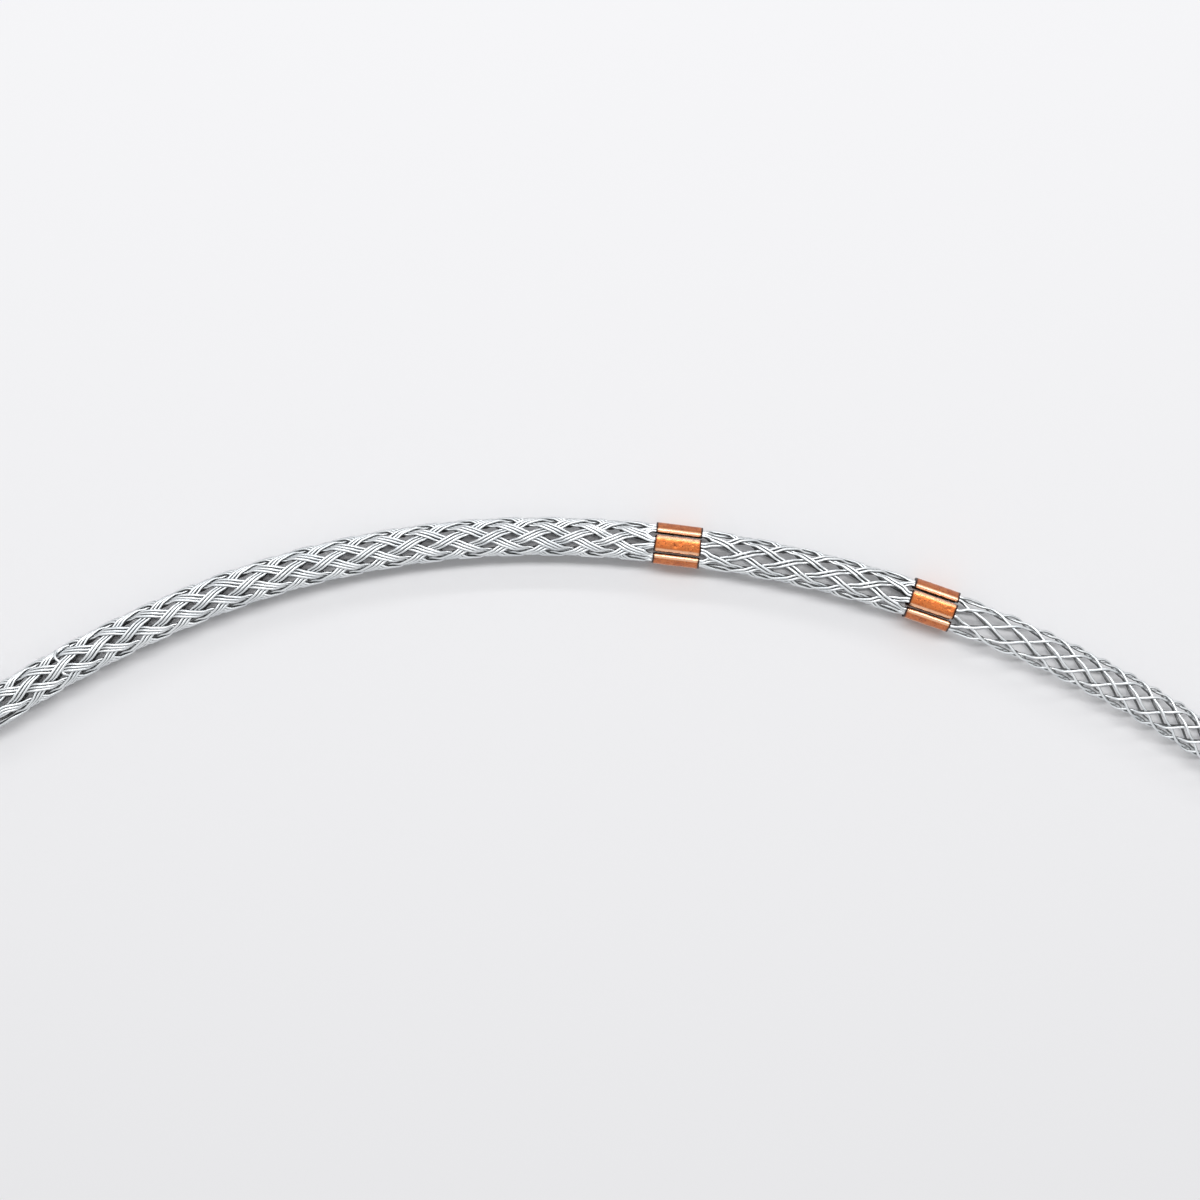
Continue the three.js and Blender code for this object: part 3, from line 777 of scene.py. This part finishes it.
def sleeve_mesh(name, seed):
    """An oval copper tube, pressed in a die that leaves soft waves along it and a few dents."""
    segments = 44
    step = 0.8
    half = SLEEVE_LENGTH / 2
    bm = bmesh.new()
    ring = bmesh.ops.create_circle(bm, segments=segments, radius=1)["verts"]
    edges = list({e for v in ring for e in v.link_edges})
    rows = round(SLEEVE_LENGTH / step)
    row_height = SLEEVE_LENGTH / rows
    bmesh.ops.translate(bm, verts=ring, vec=(0, 0, -half))
    for _ in range(rows):
        grown = bmesh.ops.extrude_edge_only(bm, edges=edges)["geom"]
        new_verts = [g for g in grown if isinstance(g, bmesh.types.BMVert)]
        edges = [g for g in grown if isinstance(g, bmesh.types.BMEdge)]
        bmesh.ops.translate(bm, verts=new_verts, vec=(0, 0, row_height))
    dents = [
        (
            noise.random() * 2 * math.pi,
            (noise.random() - 0.5) * DENTED_LENGTH,
            mix(*DENT_SIZES, noise.random()),
        )
        for _ in range(DENTS)
    ]
    own_place = bm.verts.layers.float_vector.new(OWN_PLACE)
    painted_shade = bm.verts.layers.float.new(PAINTED_SHADE)
    rubbed_and_highlight = bm.verts.layers.float.new(RUBBED_AND_HIGHLIGHT)
    shoulder_start, shoulder_end = SHOULDER
    for vert in bm.verts:
        angle = math.atan2(vert.co.y, vert.co.x)
        along = vert.co.z
        wave = DIE_WAVE * math.cos(2 * math.pi * along / DIE_WAVE_LENGTH + seed)
        wave += wander(along, seed, SLEEVE_WIDTH_WANDER)
        sag = abs(wander(along, seed + 9, SLEEVE_SAG_WANDER))
        x, y = rounded_reach(angle, SLEEVE_WIDTH / 2 + wave, SLEEVE_HEIGHT / 2 - sag)
        near_end = max(0.0, abs(along) - half + DRAWN_IN_LENGTH)
        inward = DRAWN_IN * near_end * near_end
        bump = Vector((x, y, along)) / SURFACE_ROUGHNESS_LENGTH + Vector((0, 0, seed * 5))
        inward += SURFACE_ROUGHNESS * noise.noise(bump)
        for dent_angle, dent_along, dent_size in dents:
            dent_x, dent_y = rounded_reach(dent_angle, SLEEVE_WIDTH / 2, SLEEVE_HEIGHT / 2)
            away = math.hypot(x - dent_x, y - dent_y, along - dent_along)
            inward += DENT_DEPTH * dent_size * math.exp(-((away / dent_size) ** 2))
        skew = wander(x, seed + 21, SLEEVE_END_WANDER) * along / half
        length = math.hypot(x, y)
        vert.co = Vector((x, y, 0)) * (1 - inward / length) + Vector((0, 0, along + skew))
        vert[own_place] = (vert.co + Vector((0, 0, 60 * seed))) * MM
        # Painted shade: dark at the sleeve's ends and on its underside, the side towards the bore
        at_end = smoothstep((abs(along) - half + SLEEVE_END_SHADE) / 1.1)
        vert[painted_shade] = max(at_end, smoothstep(-y - 0.2))
        # The shoulders are painted paler: partly copper rubbed clean, partly a painted highlight
        aside = abs(x) / (SLEEVE_WIDTH / 2)
        vert[rubbed_and_highlight] = smoothstep((aside - shoulder_start) / (shoulder_end - shoulder_start))
    mesh = bpy.data.meshes.new(name)
    finish_mesh(mesh, bm)
    wall = dict(thickness=SLEEVE_WALL, offset=-1)
    edge = dict(width=SLEEVE_EDGE, segments=2, limit_method="ANGLE", angle_limit=1.0)
    return with_modifiers(mesh, [("SOLIDIFY", wall), ("BEVEL", edge)])


def with_modifiers(mesh, modifiers):
    """The mesh after these modifiers."""
    shaped = bpy.data.objects.new(mesh.name, mesh)
    work.objects.link(shaped)
    for kind, settings in modifiers:
        modifier = shaped.modifiers.new(kind.lower(), kind)
        for name, value in settings.items():
            setattr(modifier, name, value)
    depsgraph = bpy.context.evaluated_depsgraph_get()
    result = bpy.data.meshes.new_from_object(shaped.evaluated_get(depsgraph), depsgraph=depsgraph)
    bpy.data.objects.remove(shaped)
    return result


def placement(centre, out, forward):
    """Takes a point of a piece, its Z along the grip and its Y along out, to its place."""
    placed = Matrix((out.cross(forward), out, forward)).transposed().to_4x4()
    placed.translation = centre
    return placed


noise.seed_set(7)
for ring_name, ring in (("first_ring", 0), ("second_ring", SECOND_RING)):
    centre, forward, left, up = frame_at(STATIONS[ring])
    for k in range(STRANDS_EACH_WAY):
        angle = 2 * k * ROW_ANGLE
        out = math.cos(angle) * up - math.sin(angle) * left
        node = f"{ring_name}_sleeve_{k + 1}"
        mesh = sleeve_mesh(f"{node}_pressed", 31 * ring + 5.3 * k + 1)
        place = placement(centre + SLEEVE_RADIUS * out, out, forward)
        mesh.transform(Matrix.Scale(MM, 4) @ place)
        add_piece(f"{node}_pressed", mesh, copper, "copper_sleeve", node)

# The ferrule and the eye


def ferrule_mesh():
    """A turned steel ferrule, bored for the strands, with three bands pressed six-sided."""
    half = FERRULE_LENGTH / 2
    bore_floor = half - STRAND_DEPTH - STRAND_END_GAP
    side = half - FERRULE_CHAMFER
    profile = [
        (0, -half),
        (FERRULE_RADIUS - FERRULE_CHAMFER, -half),
        *((FERRULE_RADIUS, mix(-side, side, k / FERRULE_ROWS)) for k in range(FERRULE_ROWS + 1)),
        (FERRULE_RADIUS - FERRULE_CHAMFER, half),
        (FERRULE_BORE + BORE_CHAMFER, half),
        (FERRULE_BORE, half - BORE_CHAMFER),
        (FERRULE_BORE, bore_floor),
        (0, bore_floor),
    ]
    bm = bmesh.new()
    verts = [bm.verts.new((r, 0, z)) for r, z in profile]
    edges = [bm.edges.new(pair) for pair in zip(verts, verts[1:])]
    bmesh.ops.spin(
        bm,
        geom=[*verts, *edges],
        axis=(0, 0, 1),
        cent=(0, 0, 0),
        angle=2 * math.pi,
        steps=96,
        use_merge=True,
    )
    bmesh.ops.remove_doubles(bm, verts=bm.verts, dist=0.001)
    side_angle = 2 * math.pi / FERRULE_BAND_SIDES
    for vert in bm.verts:
        reach = math.hypot(vert.co.x, vert.co.y)
        if reach < FERRULE_RADIUS - 0.01:
            continue
        middles = (-FERRULE_BAND_SPACING, 0, FERRULE_BAND_SPACING)
        band = min(abs(vert.co.z - middle) for middle in middles)
        pressed = smoothstep((FERRULE_BAND_WIDTH / 2 - band) / FERRULE_PRESS_RUNOUT)
        angle = math.atan2(vert.co.y, vert.co.x)
        turned = (angle + side_angle / 2) % side_angle - side_angle / 2
        flat = min(FERRULE_RADIUS, (FERRULE_RADIUS - FERRULE_PRESS) / math.cos(turned))
        vert.co.xy *= mix(1, flat / FERRULE_RADIUS, pressed)
    mesh = bpy.data.meshes.new("head_ferrule_pressed")
    bmesh.ops.recalc_face_normals(bm, faces=bm.faces)
    bm.to_mesh(mesh)
    bm.free()
    corner = math.radians(35)
    edge = dict(width=FERRULE_EDGE, segments=2, limit_method="ANGLE", angle_limit=corner)
    return with_modifiers(mesh, [("BEVEL", edge)])


def eye_path(step):
    """The middle of the eye's rope in the ferrule's axes, from the end of one leg to the other."""
    leg = EYE_LEG_SPACING / 2
    mouth = -FERRULE_LENGTH / 2
    foot = mouth - EYE_ROPE_DIAMETER / 2
    turn_z = mouth - EYE_LENGTH + EYE_TURN_RADIUS
    sweep = (foot - turn_z) / 2
    half = [Vector((leg, 0, z)) for z in (mouth + EYE_LEG_DEPTH, foot)]
    count = round((foot - turn_z) / step)
    for k in range(1, count + 1):
        t = k / count
        across = mix(leg, EYE_TURN_RADIUS, t * t * (3 - 2 * t))
        along = (
            foot * (1 - t) ** 3 + 3 * (foot - sweep) * t * (1 - t) ** 2
            + 3 * (turn_z + sweep) * t * t * (1 - t) + turn_z * t ** 3
        )
        half.append(Vector((across, 0, along)))
    count = round(math.pi / 2 * EYE_TURN_RADIUS / step)
    for k in range(1, count + 1):
        a = math.pi / 2 * k / count
        along = turn_z - EYE_TURN_RADIUS * math.sin(a)
        half.append(Vector((EYE_TURN_RADIUS * math.cos(a), 0, along)))
    back = [Vector((-p.x, 0, p.z)) for p in reversed(half[:-1])]
    return even_steps(half + back, step)


def even_steps(points, step):
    """The same line with points the same distance apart."""
    lengths = [0.0]
    for a, b in zip(points, points[1:]):
        lengths.append(lengths[-1] + (b - a).length)
    count = round(lengths[-1] / step)
    result = []
    k = 0
    for i in range(count + 1):
        at = lengths[-1] * i / count
        while k < len(points) - 2 and lengths[k + 1] < at:
            k += 1
        share = (at - lengths[k]) / (lengths[k + 1] - lengths[k])
        result.append(points[k].lerp(points[k + 1], share))
    return result


def rope_strands(path):
    """The middles of a rope's strands: a straight one, and the others laid round it."""
    step = (path[1] - path[0]).length
    strands = [list(path)]
    for number in range(ROPE_STRANDS):
        strand = []
        for k, point in enumerate(path):
            ahead = path[min(k + 1, len(path) - 1)] - path[max(k - 1, 0)]
            across = ahead.normalized().cross(Vector((0, 1, 0)))
            a = 2 * math.pi * (number / ROPE_STRANDS + k * step / ROPE_LAY)
            offset = math.cos(a) * across + math.sin(a) * Vector((0, 1, 0))
            strand.append(point + ROPE_STRAND * offset)
        strands.append(strand)
    return strands


mouth_centre, forward, left, up = frame_at(FERRULE_MOUTH)
ferrule_centre = mouth_centre - forward * FERRULE_LENGTH / 2
ferrule_place = placement(ferrule_centre, up, forward)
mesh = ferrule_mesh()
mesh.transform(Matrix.Scale(MM, 4) @ ferrule_place)
add_piece("head_ferrule_pressed", mesh, pressed_steel, "pressed_ferrule", "head_ferrule")
rope_section = wire_section(ROPE_STRAND / 2, LOBES, ROPE_STRAND_GROOVE)
strands = [[ferrule_place @ p for p in strand] for strand in rope_strands(eye_path(EYE_STEP))]
mesh = wires_mesh("pulling_eye_rope", strands, rope_section, ROPE_STRAND_LAY, ROPE_STRAND / 2)
add_piece("pulling_eye_rope", mesh, zinc_rope, "eye_rope", "pulling_eye")

# Floor, light and camera


def floor():
    """A pale matt table that takes a soft shadow."""
    m = new_material("pale table")
    finish_material(m, Base_Color=colour("#f0f0f2"), Roughness=0.9, Specular_IOR_Level=0.0)
    bm = bmesh.new()
    bmesh.ops.create_grid(bm, x_segments=1, y_segments=1, size=6)
    mesh = bpy.data.meshes.new("floor")
    bm.to_mesh(mesh)
    bm.free()
    mesh.materials.append(m)
    plane = bpy.data.objects.new("floor", mesh)
    bpy.context.scene.collection.objects.link(plane)
    return plane


def area_light(name, place, target, size, power):
    """A plain rectangular lamp that faces its target."""
    data = bpy.data.lights.new(name, "AREA")
    data.shape = "RECTANGLE"
    data.size, data.size_y = size
    data.energy = power
    lamp = bpy.data.objects.new(name, data)
    lamp.location = place
    lamp.rotation_euler = (Vector(target) - Vector(place)).to_track_quat("-Z", "Y").to_euler()
    bpy.context.scene.collection.objects.link(lamp)
    return lamp


def pale_world(light, seen):
    """White walls all round: how much they light the table, and how bright they look, also in
    metal that mirrors them."""
    world = bpy.data.worlds.new("studio")
    bpy.context.scene.world = world
    world.use_nodes = True
    world.node_tree.nodes.clear()
    glossy = add_node(world, "ShaderNodeLightPath", "Is Glossy Ray")
    direct = add_node(world, "ShaderNodeLightPath", "Is Camera Ray")
    plain = add_node(world, "ShaderNodeMath", operation="MAXIMUM", Value=glossy, Value_001=direct)
    strength = add_node(world, "ShaderNodeMapRange", Value=plain, To_Min=light, To_Max=seen)
    walls = add_node(world, "ShaderNodeBackground", Color=(1, 1, 1, 1), Strength=strength)
    add_node(world, "ShaderNodeOutputWorld", Surface=walls)


def camera():
    """Looks straight down, with a long lens from as far off as it needs for the view's width."""
    data = bpy.data.cameras.new("camera")
    data.lens = LENS
    data.sensor_width = SENSOR
    data.clip_start = 0.1
    data.clip_end = 20
    view = bpy.data.objects.new("camera", data)
    view.location = Vector((*VIEW_MIDDLE, VIEW_HEIGHT + VIEW_WIDTH * LENS / SENSOR)) * MM
    bpy.context.scene.collection.objects.link(view)
    bpy.context.scene.camera = view


floor()
pale_world(light=0.4, seen=0.95)
area_light("overhead", OVERHEAD_PLACE, LIT_MIDDLE, size=(5.0, 0.7), power=96)
area_light("strip", STRIP_PLACE, LIT_MIDDLE, size=(6.0, 0.2), power=22)
camera()
bpy.context.scene.view_settings.view_transform = "Standard"

for leftover in list(work.objects):
    bpy.data.objects.remove(leftover)
bpy.data.collections.remove(work)
